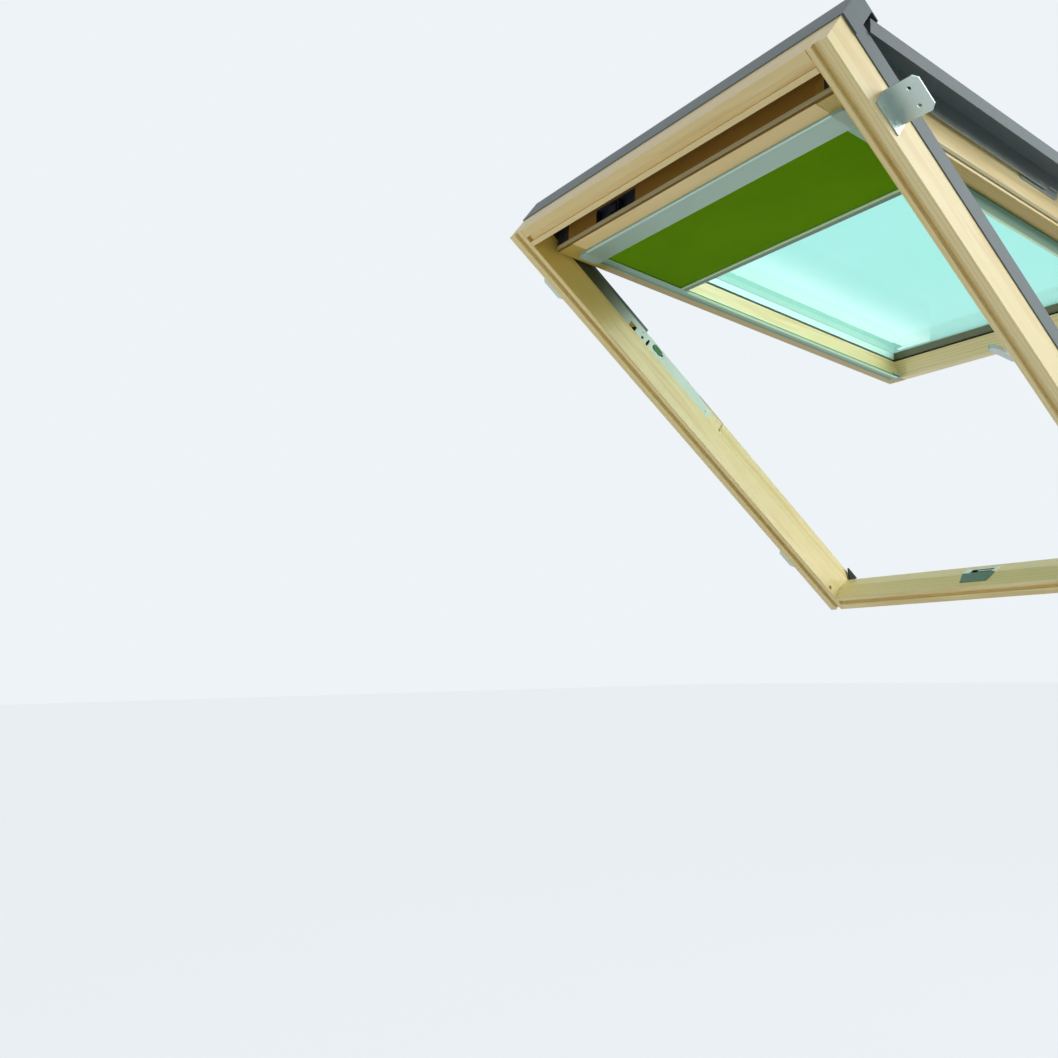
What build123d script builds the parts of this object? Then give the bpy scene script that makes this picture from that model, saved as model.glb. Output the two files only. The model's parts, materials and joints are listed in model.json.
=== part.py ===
from build123d import *
import math
import os

os.makedirs("parts", exist_ok=True)

# The window as it sits in the roof, and how far the sash stands open
roof_pitch = 38.0
open_angle = 32.3

# Frame: outer size, depth outward from the room side, and the level of the battens it is fixed on
frame_width = 780.0
frame_length = 1178.0
frame_depth = 88.0
stile_width = 38.5
rail_width = 39.5
seat_level = 40.0
top_rail_depth = 78.0
bottom_rail_flat = 38.0
bottom_rail_depth = 72.0
bottom_rail_slope = 16.0
splay_start = 50.0
splay = 5.0
lip_width = 10.0
lining_groove = 12.5
lining_groove_depth = 8.0
edge_round = 2.0
screw_hole_radius = 5.0
screw_hole_depth = 14.0
screw_hole_level = 10.0
screw_hole_setback = 29.0

# Frame cladding and the hood over the top rail
sheet = 2.0
skirt_level = 60.0
upstand_height = 8.0
upstand_setback = 5.0
upstand_end = 310.0
lower_skirt_level = 44.0
drain_fold = 6.0
drain_setback = 8.0
hood_height = 126.0
hood_reach = 12.0
hood_lip = 4.5
hood_round = 8.0
cheek_reach = 5.0
seal_reach = 4.0
seal_lip = 3.0
seal_setback = 6.5
seal_thickness = 2.8

# Sash: gaps to the frame, levels outward from the room side
side_gap = 6.0
top_gap = 5.5
bottom_gap = 6.5
sash_level = 12.0
sash_depth = 70.0
sash_stile_width = 48.0
sash_top_width = 36.0
sash_bottom_width = 23.0
sash_bottom_splay = 24.0
gasket_groove_level = 17.0
gasket_groove_height = 9.0
gasket_groove_depth = 6.0
gasket_height = 6.4
gasket_reach = 2.5

# Glazing: two panes either side of a spacer, in a rebate open to the outside
glass_setback = 38.0
rebate_depth = 12.0
pane_thickness = 4.0
pane_gap = 16.0
spacer_width = 10.0
spacer_setback = 4.0
gasket_thickness = 2.0
gasket_edge = 1.0
bead_thickness = 2.5
bead_setback = 5.0
bead_edge = 1.5
bead_slope = 10.0

# Top hinge, arms and the pivot half way down the sash
hinge_setback = 11.1
hinge_level = 91.7
eye_radius = 9.0
hinge_pin_radius = 4.0
pin_clearance = 0.05
plate_thickness = 2.5
plate_recess = 6.5
plate_level = 60.5
plate_back = 87.5
plate_length = 550.0
plate_taper = 60.0
plate_drop = 8.0
recess_margin = 40.0
recess_start = 30.0
pocket_depth = 12.0
rivet_radius = 3.2
rivet_height = 1.1
rivet_setback = 15.0
arm_thickness = 3.0
arm_setback = 2.0
arm_level = 64.0
arm_tail_level = 74.0
arm_tail_start = 575.0
arm_end = 671.0
pivot_level = 76.0
pivot_pin_radius = 5.0
pivot_eye_radius = 11.0
pivot_plate_length = 120.0
pivot_plate_thickness = 3.0
pivot_plate_height = 20.0
cover_level = 99.0
cover_start = 6.0
cover_split = 679.0
cover_overhang = 3.5
cover_foot = 8.0
corner_length = 41.0
corner_width = 24.0
flange_gap = 1.5
flange_level = 78.0

# Selector slide on each hinge plate, placed up from the plate's lower end
selector_setback = 210.0
selector_length = 28.0
selector_height = 12.0
selector_level = 77.5
selector_stem = 14.0
selector_travel = 12.0
selector_proud = 1.5
selector_washer = 1.5
notch_width = 20.0
notch_level = 75.0
notch_gap = 75.0
lug_slot_width = 6.0
lug_slot_level = 78.0
lug_slot_gap = 18.0
lug_hole_radius = 3.5
lug_hole_level = 68.5
lug_hole_gap = 32.0

# Catches on the upper corners of the sash and the lock case in its top end
catch_width = 31.0
catch_level = 28.0
catch_height = 32.0
catch_sheet = 1.5
catch_leg = 58.0
catch_bolt_radius = 5.0
catch_bolt_height = 1.0
case_start = 125.0
case_length = 113.0
case_level = 27.0
case_height = 28.0
case_depth = 14.0
case_wall = 2.0
case_split = 0.56

# Roller blind on the room side of the sash
guide_inset = 27.5
guide_width = 27.0
guide_thickness = 6.0
guide_step = 2.0
groove_width = 3.2
groove_depth = 13.0
cassette_drop = 34.0
cassette_height = 49.0
cassette_front = 7.0
cassette_back = 32.0
cassette_wall = 1.6
cassette_round = 5.0
cap_width = 25.0
cap_round = 9.0
fabric_thickness = 0.6
fabric_offset = 3.0
fabric_drop = 204.0
roller_level = 12.7
roller_radius = 10.0
roll_radius = 15.3
journal_radius = 3.0
bar_height = 17.0
bar_thickness = 7.0
guide_end = 42.0
stop_length = 8.0
stop_reach = 3.0
hook_length = 24.0
hook_reach = 8.0

# Handle and latch on the bottom rail
spindle_radius = 4.0
spindle_clearance = 0.1
handle_setback = 11.5
rosette_length = 64.0
rosette_width = 20.0
rosette_height = 6.0
lever_length = 112.0
lever_width = 18.0
lever_stand = 26.0
lever_thickness = 10.0
latch_level = 41.0
latch_thickness = 4.0
latch_width = 12.0
latch_reach = 25.0
latch_room = 8.0
strike_width = 72.0
strike_level = 14.0
strike_top = 58.0
strike_sheet = 1.6
strike_slot_start = -20.0
strike_slot_end = 30.0
strike_tongue = 3.3
strike_taper = 13.0

# Fixing brackets on the outer faces of the stiles
bracket_thickness = 2.5
bracket_width = 60.0
bracket_reach = 55.0
bracket_leg = 30.0
bracket_hole_radius = 3.25
bracket_hole_spacing = 30.0
bracket_hole_reach = 35.0
bracket_inset = 150.0
screw_head_radius = 4.6
screw_head_height = 2.0
screw_drop = 18.0

inner_half = frame_width / 2 - stile_width
inner_length = frame_length - 2 * rail_width
sash_length = inner_length - top_gap - bottom_gap
sash_half = inner_half - side_gap
pivot_drop = top_gap + sash_length / 2
sash_back = sash_level + sash_depth
glass_level = sash_level + glass_setback
glass_back = glass_level + 2 * pane_thickness + pane_gap
gasket_level = glass_level - gasket_thickness
gasket_back = glass_back + gasket_thickness
cladding_level = frame_depth + sheet
cover_back = cover_level + sheet
flange_x = frame_width / 2 + sheet + flange_gap
reveal = side_gap + sash_stile_width
rebate = reveal - rebate_depth
SIDES = ((-1, "left"), (1, "right"))


def level(depth):
    """Height over the batten plane of a point this far outward from the room side."""
    return depth - seat_level


def drop(distance):
    """Place down the slope of a point this far below the top rail's inner face."""
    return distance + rail_width - frame_length


def down_sash(distance):
    """Place down the slope of a point this far below the sash's top end."""
    return drop(top_gap + distance)


def inward(side, distance):
    """Place across the window of a point this far in from a stile's inner face."""
    return side * (inner_half - distance)


def tilted_plane(pitch):
    """A plane through the origin that falls towards +Y at this pitch."""
    angle = math.radians(pitch)
    return Plane(origin=(0, 0, 0), x_dir=(1, 0, 0), z_dir=(0, math.sin(angle), math.cos(angle)))


def turned_plane(plane, angle, y, z):
    """The plane turned about the level axis through its own point (y, z)."""
    turn = math.radians(angle)
    shift_y = y - y * math.cos(turn) + z * math.sin(turn)
    shift_z = z - y * math.sin(turn) - z * math.cos(turn)
    normal = plane.z_dir.rotate(Axis(plane.origin, plane.x_dir), angle)
    return Plane(origin=plane.from_local_coords((0, shift_y, shift_z)), x_dir=plane.x_dir, z_dir=normal)


def section_across(plane, y):
    """Plane of a stile's section: across the window and outward, facing up the slope."""
    return Plane(origin=plane.from_local_coords((0, y, 0)), x_dir=plane.x_dir, z_dir=-plane.y_dir)


def section_along(plane, x):
    """Plane of a rail's section: down the slope and outward, facing +X."""
    return Plane(origin=plane.from_local_coords((x, 0, 0)), x_dir=plane.y_dir, z_dir=plane.x_dir)


def stile_section(side, points):
    """Fills an outline given as (in from the stile's inner face, outward from the room side)."""
    Polygon(*[(inward(side, across), level(depth)) for across, depth in points], align=None)


def rail_section(points):
    """Fills an outline given as (down from the top rail's inner face, outward from the room side)."""
    Polygon(*[(drop(distance), level(depth)) for distance, depth in points], align=None)


def sash_rail_section(points):
    """Fills an outline given as (down from the sash's top end, outward from the room side)."""
    Polygon(*[(down_sash(distance), level(depth)) for distance, depth in points], align=None)


def bar(plane, across, along, depth, mode=Mode.ADD):
    """Adds or cuts a square block given by its range across, down the slope and outward."""
    middle = (sum(across) / 2, sum(along) / 2, level(sum(depth) / 2))
    size = (abs(across[1] - across[0]), abs(along[1] - along[0]), abs(depth[1] - depth[0]))
    with Locations(plane.location * Location(middle)):
        Box(*size, mode=mode)


def ring(plane, half, along, band, depth, mode=Mode.ADD):
    """Adds or cuts a flat frame of one band width, outline and levels given."""
    with BuildSketch(plane.offset(level(depth[0]))) as outline:
        with Locations((0, sum(along) / 2)):
            Rectangle(2 * half, along[1] - along[0])
            Rectangle(2 * (half - band), along[1] - along[0] - 2 * band, mode=Mode.SUBTRACT)
    extrude(outline.sketch, amount=depth[1] - depth[0], mode=mode)


def save(piece, name):
    """Labels a finished piece and writes it under its name."""
    piece.label = name
    export_step(piece, f"parts/{name}.step")


ROOF = tilted_plane(roof_pitch)
SASH = turned_plane(ROOF, open_angle, drop(-hinge_setback), level(hinge_level))
ROOF_OUTWARD = Axis(ROOF.origin, ROOF.z_dir)
SASH_OUTWARD = Axis(SASH.origin, SASH.z_dir)
sash_top = down_sash(0)
sash_bottom = down_sash(sash_length)

# Frame stiles: lining groove and lip on the room side, recess for the hinge plate on the inner face
stile_outline = [
    (-stile_width, 0),
    (-lip_width - lining_groove, 0),
    (-lip_width - lining_groove, lining_groove_depth),
    (-lip_width, lining_groove_depth),
    (-lip_width, 0),
    (0, 0),
    (0, splay_start),
    (-splay, frame_depth),
    (-stile_width, frame_depth),
]
selector_start = plate_length - selector_setback
selector_end = selector_start + selector_length
notch_start = selector_start - notch_gap
lug_start = selector_start - lug_slot_gap
lug_hole = selector_start - lug_hole_gap
slot_half = selector_height / 4 + pin_clearance
washer_half = selector_height / 2

for side, name in SIDES:
    with BuildPart() as frame_stile:
        with BuildSketch(section_across(ROOF, 0)) as section:
            stile_section(side, stile_outline)
            lip_corner = (inward(side, 0), level(0), 0)
            fillet(section.vertices().sort_by_distance(lip_corner)[0], edge_round)
        extrude(amount=frame_length)
        recess_x = (inward(side, -plate_recess), inward(side, splay))
        recess_y = (drop(-recess_start), drop(plate_length + recess_margin))
        bar(ROOF, recess_x, recess_y, (plate_level - 0.5, frame_depth + 1), Mode.SUBTRACT)
        groove_x = (inward(side, -plate_recess - 2 * selector_washer), inward(side, 0))
        groove_y = (drop(selector_start - 6), drop(selector_end + selector_travel + 6))
        groove_d = (selector_level - washer_half - 2, selector_level + washer_half + 1)
        bar(ROOF, groove_x, groove_y, groove_d, Mode.SUBTRACT)
        pocket_x = (inward(side, -plate_recess - pocket_depth), inward(side, 0))
        notch_y = (drop(notch_start), drop(notch_start + notch_width))
        bar(ROOF, pocket_x, notch_y, (plate_level, notch_level), Mode.SUBTRACT)
        lug_y = (drop(lug_hole - 2 * lug_hole_radius), drop(lug_start + lug_slot_width))
        bar(ROOF, pocket_x, lug_y, (plate_level, lug_slot_level), Mode.SUBTRACT)
        with Locations(section_along(ROOF, inward(side, 0))):
            with Locations((drop(inner_length - screw_hole_setback), level(screw_hole_level))):
                Hole(screw_hole_radius, screw_hole_depth)
    save(frame_stile.part, f"frame_{name}_stile")

with BuildPart() as stile_blanks:
    for side, name in SIDES:
        with BuildSketch(section_across(ROOF, 0)):
            stile_section(side, stile_outline)
        extrude(amount=frame_length)

# Frame rails, coped to the stiles
top_rail_outline = [
    (-rail_width, 0),
    (-lip_width - lining_groove, 0),
    (-lip_width - lining_groove, lining_groove_depth),
    (-lip_width, lining_groove_depth),
    (-lip_width, 0),
    (0, 0),
    (0, top_rail_depth),
    (-rail_width, top_rail_depth),
]
with BuildPart() as frame_top_rail:
    with BuildSketch(section_along(ROOF, -inner_half - splay)) as section:
        rail_section(top_rail_outline)
        fillet(section.vertices().sort_by_distance((drop(0), level(0), 0))[0], edge_round)
    extrude(amount=2 * (inner_half + splay))
    add(stile_blanks.part, mode=Mode.SUBTRACT)
save(frame_top_rail.part, "frame_top_rail")

bottom_rail_outline = [
    (inner_length, 0),
    (inner_length + lip_width, 0),
    (inner_length + lip_width, lining_groove_depth),
    (inner_length + lip_width + lining_groove, lining_groove_depth),
    (inner_length + lip_width + lining_groove, 0),
    (inner_length + rail_width, 0),
    (inner_length + rail_width, bottom_rail_depth),
    (inner_length + bottom_rail_slope, bottom_rail_depth),
    (inner_length, bottom_rail_flat),
]
with BuildPart() as frame_bottom_rail:
    with BuildSketch(section_along(ROOF, -inner_half - splay)) as section:
        rail_section(bottom_rail_outline)
        fillet(section.vertices().sort_by_distance((drop(inner_length), level(0), 0))[0], edge_round)
    extrude(amount=2 * (inner_half + splay))
    add(stile_blanks.part, mode=Mode.SUBTRACT)
    pocket_x = (strike_slot_start - 2, strike_slot_end + 2)
    pocket_y = (drop(inner_length - 1), drop(inner_length + rail_width / 2 + 2))
    bar(ROOF, pocket_x, pocket_y, (latch_level - latch_thickness, strike_top - 3), Mode.SUBTRACT)
save(frame_bottom_rail.part, "frame_bottom_rail")

# Cladding of the stiles, with an upstand beside the top hinge and a skirt down the outer face
for side, name in SIDES:
    with BuildPart() as frame_cladding:
        with BuildSketch(section_across(ROOF, 0)):
            stile_section(side, [
                (-stile_width - sheet, skirt_level),
                (-stile_width, skirt_level),
                (-stile_width, frame_depth),
                (-upstand_setback - sheet, frame_depth),
                (-upstand_setback - sheet, cladding_level),
                (-stile_width - sheet, cladding_level),
            ])
        extrude(amount=frame_length)
        upstand_x = (inward(side, -upstand_setback - sheet), inward(side, -upstand_setback))
        bar(ROOF, upstand_x, (drop(2), drop(upstand_end)), (frame_depth, frame_depth + upstand_height))
        flap_x = (side * (frame_width / 2 + sheet), side * (inner_half + splay))
        bar(ROOF, flap_x, (0, sheet), (bottom_rail_depth + sheet, cladding_level))
    save(frame_cladding.part, f"frame_cladding_{name}")

# Cladding over the bottom rail
drain_edge = inner_length + bottom_rail_slope + drain_setback
with BuildPart() as frame_cladding_bottom:
    with BuildSketch(section_along(ROOF, -inner_half)):
        rail_section([
            (drain_edge, bottom_rail_depth),
            (inner_length + rail_width + sheet, bottom_rail_depth),
            (inner_length + rail_width + sheet, bottom_rail_depth + sheet),
            (drain_edge + sheet, bottom_rail_depth + sheet),
            (drain_edge + sheet, bottom_rail_depth + drain_fold),
            (drain_edge, bottom_rail_depth + drain_fold),
        ])
    extrude(amount=2 * inner_half)
    skirt_half = frame_width / 2 + sheet
    bar(ROOF, (-skirt_half, skirt_half), (0, sheet), (lower_skirt_level, bottom_rail_depth + sheet))
save(frame_cladding_bottom.part, "frame_cladding_bottom")

# Hood over the top of the window, standing on the top rail's outer face
hood_half = frame_width / 2 + 2 * sheet
hood_top = drop(-rail_width)
with BuildPart() as top_hood:
    with BuildSketch(section_along(ROOF, -hood_half)) as section:
        rail_section([
            (-rail_width - sheet, skirt_level),
            (-rail_width, skirt_level),
            (-rail_width, hood_height - sheet),
            (hood_reach - sheet, hood_height - sheet),
            (hood_reach - sheet, hood_height - hood_lip),
            (hood_reach, hood_height - hood_lip),
            (hood_reach, hood_height),
            (-rail_width - sheet, hood_height),
        ])
        outer_fold = (hood_top - sheet, level(hood_height), 0)
        inner_fold = (hood_top, level(hood_height - sheet), 0)
        fillet(section.vertices().sort_by_distance(outer_fold)[0], hood_round)
        fillet(section.vertices().sort_by_distance(inner_fold)[0], hood_round - sheet)
    extrude(amount=2 * hood_half)
    for side, name in SIDES:
        cheek_x = (side * hood_half, side * (hood_half - sheet))
        bar(ROOF, cheek_x, (hood_top, drop(cheek_reach - lip_width)), (skirt_level, hood_height - sheet))
save(top_hood.part, "top_hood")

# Steel plates on the stiles that carry the top hinge
for side, name in SIDES:
    plate_x = inward(side, -plate_recess)
    with BuildPart() as hinge_plate:
        with BuildSketch(section_along(ROOF, plate_x)):
            rail_section([
                (-hinge_setback - eye_radius, plate_level),
                (plate_length, plate_level),
                (plate_length, plate_back - plate_drop),
                (plate_length - plate_taper, plate_back),
                (0, plate_back),
                (-hinge_setback + eye_radius, hinge_level),
                (-hinge_setback - eye_radius, hinge_level),
            ])
            with Locations((drop(-hinge_setback), level(hinge_level))):
                Circle(eye_radius)
                Circle(hinge_pin_radius, mode=Mode.SUBTRACT)
            with Locations((drop(lug_hole), level(lug_hole_level))):
                Circle(lug_hole_radius, mode=Mode.SUBTRACT)
            slot_length = selector_stem + selector_travel + 2 * pin_clearance
            slot_middle = selector_start + (selector_length + selector_travel) / 2
            with Locations((drop(slot_middle), level(selector_level))):
                Rectangle(slot_length, 2 * slot_half, mode=Mode.SUBTRACT)
        extrude(amount=-side * plate_thickness)
        through_x = (plate_x + side, plate_x - side * (plate_thickness + 1))
        notch_y = (drop(notch_start), drop(notch_start + notch_width))
        bar(ROOF, through_x, notch_y, (plate_level - 1, notch_level), Mode.SUBTRACT)
        lug_y = (drop(lug_start), drop(lug_start + lug_slot_width))
        bar(ROOF, through_x, lug_y, (plate_level - 1, lug_slot_level), Mode.SUBTRACT)
        rivet_level = (plate_level + plate_back) / 2
        rivet_places = (
            (2 * rivet_setback, rivet_level),
            (selector_start / 2, rivet_level - rivet_radius),
            (lug_hole - rivet_radius, lug_slot_level + rivet_radius),
            (plate_length - rivet_setback, rivet_level - rivet_radius),
        )
        for distance, depth in rivet_places:
            with BuildSketch(section_along(ROOF, inward(side, -plate_recess + plate_thickness))):
                with Locations((drop(distance), level(depth))):
                    Circle(rivet_radius)
            extrude(amount=-side * rivet_height)
    save(hinge_plate.part, f"hinge_plate_{name}")

# Hinge pins, riveted in the plates and carrying the arms
for side, name in SIDES:
    with BuildPart() as hinge_pin:
        with BuildSketch(section_along(ROOF, inward(side, -plate_recess))):
            with Locations((drop(-hinge_setback), level(hinge_level))):
                Circle(hinge_pin_radius)
        extrude(amount=-side * (plate_recess + arm_thickness - arm_setback + 0.2))
        with BuildSketch(section_along(ROOF, inward(side, arm_thickness - arm_setback + 0.2))):
            with Locations((drop(-hinge_setback), level(hinge_level))):
                Circle(hinge_pin_radius + 2)
        extrude(amount=-side * 1.8)
    save(hinge_pin.part, f"hinge_pin_{name}")

# Seals at the lower corners of the frame
with BuildPart() as corner_seals:
    for side, name in SIDES:
        with BuildSketch(section_along(ROOF, inward(side, 0.1))):
            rail_section([
                (inner_length + bottom_rail_slope, bottom_rail_depth),
                (drain_edge, bottom_rail_depth),
                (drain_edge, bottom_rail_depth + drain_fold),
                (inner_length + rail_width - seal_setback, cladding_level),
                (inner_length + rail_width - seal_setback, cladding_level + sheet),
                (inner_length - seal_reach, cladding_level + sheet),
                (inner_length - seal_reach, cladding_level + sheet - seal_lip),
            ])
        extrude(amount=-side * seal_thickness)
save(corner_seals.part, "corner_seals")

# Strike plate on the bottom rail, folded along its splay, with a tongue across its slot
splay_run = bottom_rail_slope * (strike_top - bottom_rail_flat) / (bottom_rail_depth - bottom_rail_flat)
cam_back = latch_level + latch_thickness / 2 + 0.7
with BuildPart() as strike_plate:
    with BuildSketch(section_along(ROOF, -strike_width / 2)):
        rail_section([
            (inner_length, strike_level),
            (inner_length, bottom_rail_flat),
            (inner_length + splay_run, strike_top),
            (inner_length + splay_run - strike_sheet, strike_top),
            (inner_length - strike_sheet, bottom_rail_flat + 0.3),
            (inner_length - strike_sheet, strike_level),
        ])
    extrude(amount=strike_width)
    slot_x = (strike_slot_start, strike_slot_end)
    slot_y = (drop(inner_length - 4), drop(inner_length + bottom_rail_slope))
    slot_front = latch_level - latch_thickness / 2 - 0.7
    bar(ROOF, slot_x, slot_y, (slot_front, cam_back), Mode.SUBTRACT)
    bar(ROOF, slot_x, slot_y, (cam_back + strike_tongue, strike_top - 5), Mode.SUBTRACT)
    stem_x = (strike_slot_start, strike_slot_start + 1.2 * strike_taper)
    bar(ROOF, stem_x, slot_y, (slot_front, strike_top - 5), Mode.SUBTRACT)
    with BuildSketch(section_across(ROOF, drop(inner_length + 1))):
        Polygon(
            (strike_width / 2 + 1, level(bottom_rail_flat - 4)),
            (strike_width / 2, level(bottom_rail_flat - 4)),
            (strike_width / 2 - strike_taper, level(strike_level - 1)),
            (strike_width / 2 + 1, level(strike_level - 1)),
            align=None,
        )
    extrude(amount=2 * strike_sheet, mode=Mode.SUBTRACT)
save(strike_plate.part, "strike_plate")

# Fixing brackets: a leg on the stile's outer face and a foot on the battens
for place, distance in (("upper", bracket_inset), ("lower", frame_length - bracket_inset)):
    for side, name in SIDES:
        outer_x = frame_width / 2
        middle_y = distance - frame_length
        with BuildPart() as bracket:
            leg_x = (side * outer_x, side * (outer_x + bracket_thickness))
            foot_x = (side * outer_x, side * (outer_x + bracket_reach))
            span = (middle_y - bracket_width / 2, middle_y + bracket_width / 2)
            bar(ROOF, leg_x, span, (seat_level - bracket_leg, seat_level + bracket_thickness))
            bar(ROOF, foot_x, span, (seat_level, seat_level + bracket_thickness))
            with Locations(ROOF.offset(bracket_thickness)):
                for place_y in (-bracket_hole_spacing / 2, bracket_hole_spacing / 2):
                    with Locations((side * (outer_x + bracket_hole_reach), middle_y + place_y)):
                        Hole(bracket_hole_radius)
            for end_y in span:
                foot_edge = bracket.edges().filter_by(ROOF_OUTWARD).sort_by_distance(
                    ROOF.from_local_coords((side * (outer_x + bracket_reach), end_y, 0))
                )[0]
                chamfer(foot_edge, 3 * bracket_thickness)
        save(bracket.part, f"mounting_bracket_{place}_{name}")

# Hexagon heads of the screws that hold the bracket legs on the stiles
with BuildPart() as frame_screws:
    for distance in (bracket_inset, frame_length - bracket_inset):
        for side, name in SIDES:
            for place_y in (-bracket_hole_spacing / 2, bracket_hole_spacing / 2):
                spot = (distance - frame_length + place_y, level(seat_level - screw_drop))
                with BuildSketch(section_along(ROOF, side * (frame_width / 2 + bracket_thickness))):
                    with Locations(spot):
                        RegularPolygon(screw_head_radius, 6)
                extrude(amount=side * screw_head_height)
save(frame_screws.part, "frame_screws")

# Selector slides: a ribbed button in front of the plate, a washer behind it
for side, name in SIDES:
    with BuildPart() as selector_slide:
        front_x = inward(side, -plate_recess + plate_thickness)
        back_x = inward(side, -plate_recess)
        button_y = (drop(selector_start), drop(selector_start + selector_length))
        button_x = (front_x - side * 0.1, front_x - side * (0.1 + selector_proud))
        button_d = (selector_level - washer_half, selector_level + washer_half)
        bar(ROOF, button_x, button_y, button_d)
        edges = selector_slide.edges().filter_by(Axis.X)
        fillet(edges, washer_half - 0.9)
        stem_start = selector_start + (selector_length - selector_stem) / 2
        stem_y = (drop(stem_start), drop(stem_start + selector_stem))
        stem_d = (selector_level - slot_half + pin_clearance, selector_level + slot_half - pin_clearance)
        bar(ROOF, (front_x - side * 0.1, back_x + side * 0.1), stem_y, stem_d)
        washer_x = (back_x + side * 0.1, back_x + side * (0.1 + selector_washer))
        bar(ROOF, washer_x, stem_y, (selector_level - washer_half, selector_level + washer_half - 1))
    save(selector_slide.part, f"selector_slide_{name}")

# Arms between the top hinge and the pivot in the middle of the sash
hinge_spot = (drop(-hinge_setback), level(hinge_level))
pivot_spot = (drop(pivot_drop), level(pivot_level))
for side, name in SIDES:
    arm_x = inward(side, -arm_setback)
    with BuildPart() as arm:
        with BuildSketch(section_along(SASH, arm_x)):
            rail_section([
                (-hinge_setback + 4, hinge_level - eye_radius + 1),
                (26, arm_level),
                (arm_tail_start - 10, arm_level),
                (arm_tail_start + 4, arm_tail_level),
                (arm_end, arm_tail_level),
                (arm_end, cover_level),
                (6, cover_level),
                (-hinge_setback, hinge_level + eye_radius - 2.2),
            ])
            with Locations(hinge_spot):
                Circle(eye_radius)
                Circle(hinge_pin_radius + pin_clearance, mode=Mode.SUBTRACT)
            with Locations(pivot_spot):
                Circle(pivot_eye_radius)
                Circle(pivot_pin_radius, mode=Mode.SUBTRACT)
        extrude(amount=-side * arm_thickness)
    save(arm.part, f"arm_{name}")

# Pivot pins, fixed in the arms with a collar towards the sash
for side, name in SIDES:
    with BuildPart() as pivot_pin:
        with BuildSketch(section_along(SASH, inward(side, -arm_setback - 0.8))):
            with Locations(pivot_spot):
                Circle(pivot_pin_radius)
        extrude(amount=-side * (arm_setback + side_gap + 0.6))
        with BuildSketch(section_along(SASH, inward(side, arm_thickness - arm_setback))):
            with Locations(pivot_spot):
                Circle(pivot_pin_radius + 3)
        extrude(amount=-side * (side_gap - pivot_plate_thickness - arm_thickness + arm_setback - 0.2))
    save(pivot_pin.part, f"pivot_pin_{name}")

# Covers over the arms, closing the gap to the frame's cladding on the upper half
for side, name in SIDES:
    with BuildPart() as arm_cover:
        along = (drop(cover_start), drop(cover_split - 8))
        bar(SASH, (inward(side, 3), side * (flange_x + sheet)), along, (cover_level, cover_back))
        bar(SASH, (side * flange_x, side * (flange_x + sheet)), along, (flange_level, cover_back))
    save(arm_cover.part, f"arm_cover_{name}")


def cut_gasket_groove():
    """Cuts the seal's groove round the edge of the sash out of the current piece."""
    depth = (gasket_groove_level, gasket_groove_level + gasket_groove_height)
    along = (sash_top - 10, sash_bottom + 10)
    ring(SASH, sash_half + 10, along, gasket_groove_depth + 10, depth, Mode.SUBTRACT)


# Sash stiles, rebated for the glass from outside
sash_stile_outline = [
    (side_gap, sash_level),
    (reveal, sash_level),
    (reveal, gasket_level),
    (rebate, gasket_level),
    (rebate, sash_back),
    (side_gap, sash_back),
]
with BuildPart() as sash_stile_blanks:
    for side, name in SIDES:
        with BuildSketch(section_across(SASH, sash_bottom)):
            stile_section(side, sash_stile_outline)
        extrude(amount=sash_length)

for side, name in SIDES:
    with BuildPart() as sash_stile:
        with BuildSketch(section_across(SASH, sash_bottom)) as section:
            stile_section(side, sash_stile_outline)
            for across in (side_gap, reveal):
                corner = (inward(side, across), level(sash_level), 0)
                fillet(section.vertices().sort_by_distance(corner)[0], edge_round)
        extrude(amount=sash_length)
        cut_gasket_groove()
        with Locations(section_along(SASH, inward(side, side_gap))):
            with Locations(pivot_spot):
                Hole(pivot_pin_radius + 0.5, 3)
    save(sash_stile.part, f"sash_{name}_stile")

# Sash rails, coped to the stiles; the bottom one splays away from the glass
with BuildPart() as sash_top_rail:
    with BuildSketch(section_along(SASH, -sash_half)) as section:
        sash_rail_section([
            (0, sash_level),
            (sash_top_width, sash_level),
            (sash_top_width, gasket_level),
            (sash_top_width - rebate_depth, gasket_level),
            (sash_top_width - rebate_depth, sash_back),
            (0, sash_back),
        ])
        fillet(section.vertices().sort_by_distance((sash_top, level(sash_level), 0))[0], edge_round)
    extrude(amount=2 * sash_half)
    add(sash_stile_blanks.part, mode=Mode.SUBTRACT)
    cut_gasket_groove()
    case_x = (inward(-1, case_start), inward(-1, case_start + case_length))
    case_d = (case_level, case_level + case_height)
    bar(SASH, case_x, (sash_top - 1, sash_top + case_depth), case_d, Mode.SUBTRACT)
save(sash_top_rail.part, "sash_top_rail")

bottom_reveal = sash_length - sash_bottom_width - sash_bottom_splay
with BuildPart() as sash_bottom_rail:
    with BuildSketch(section_along(SASH, -sash_half)) as section:
        sash_rail_section([
            (sash_length, sash_level),
            (sash_length - sash_bottom_width, sash_level),
            (bottom_reveal, gasket_level),
            (bottom_reveal + rebate_depth, gasket_level),
            (bottom_reveal + rebate_depth, sash_back),
            (sash_length, sash_back),
        ])
        fillet(section.vertices().sort_by_distance((sash_bottom, level(sash_level), 0))[0], edge_round)
    extrude(amount=2 * sash_half)
    add(sash_stile_blanks.part, mode=Mode.SUBTRACT)
    cut_gasket_groove()
    with Locations(SASH.offset(level(sash_level - 1))):
        with Locations((0, down_sash(sash_length - handle_setback))):
            Cylinder(
                spindle_radius + 1,
                latch_level + latch_thickness - sash_level,
                align=(Align.CENTER, Align.CENTER, Align.MIN),
                mode=Mode.SUBTRACT,
            )
    latch_x = (-latch_width / 2 - latch_room, latch_reach + latch_width / 2 + latch_room)
    latch_y = (sash_bottom - handle_setback - latch_width / 2 - latch_room, sash_bottom + 1)
    latch_d = (latch_level - latch_thickness, latch_level + latch_thickness)
    bar(SASH, latch_x, latch_y, latch_d, Mode.SUBTRACT)
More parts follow.
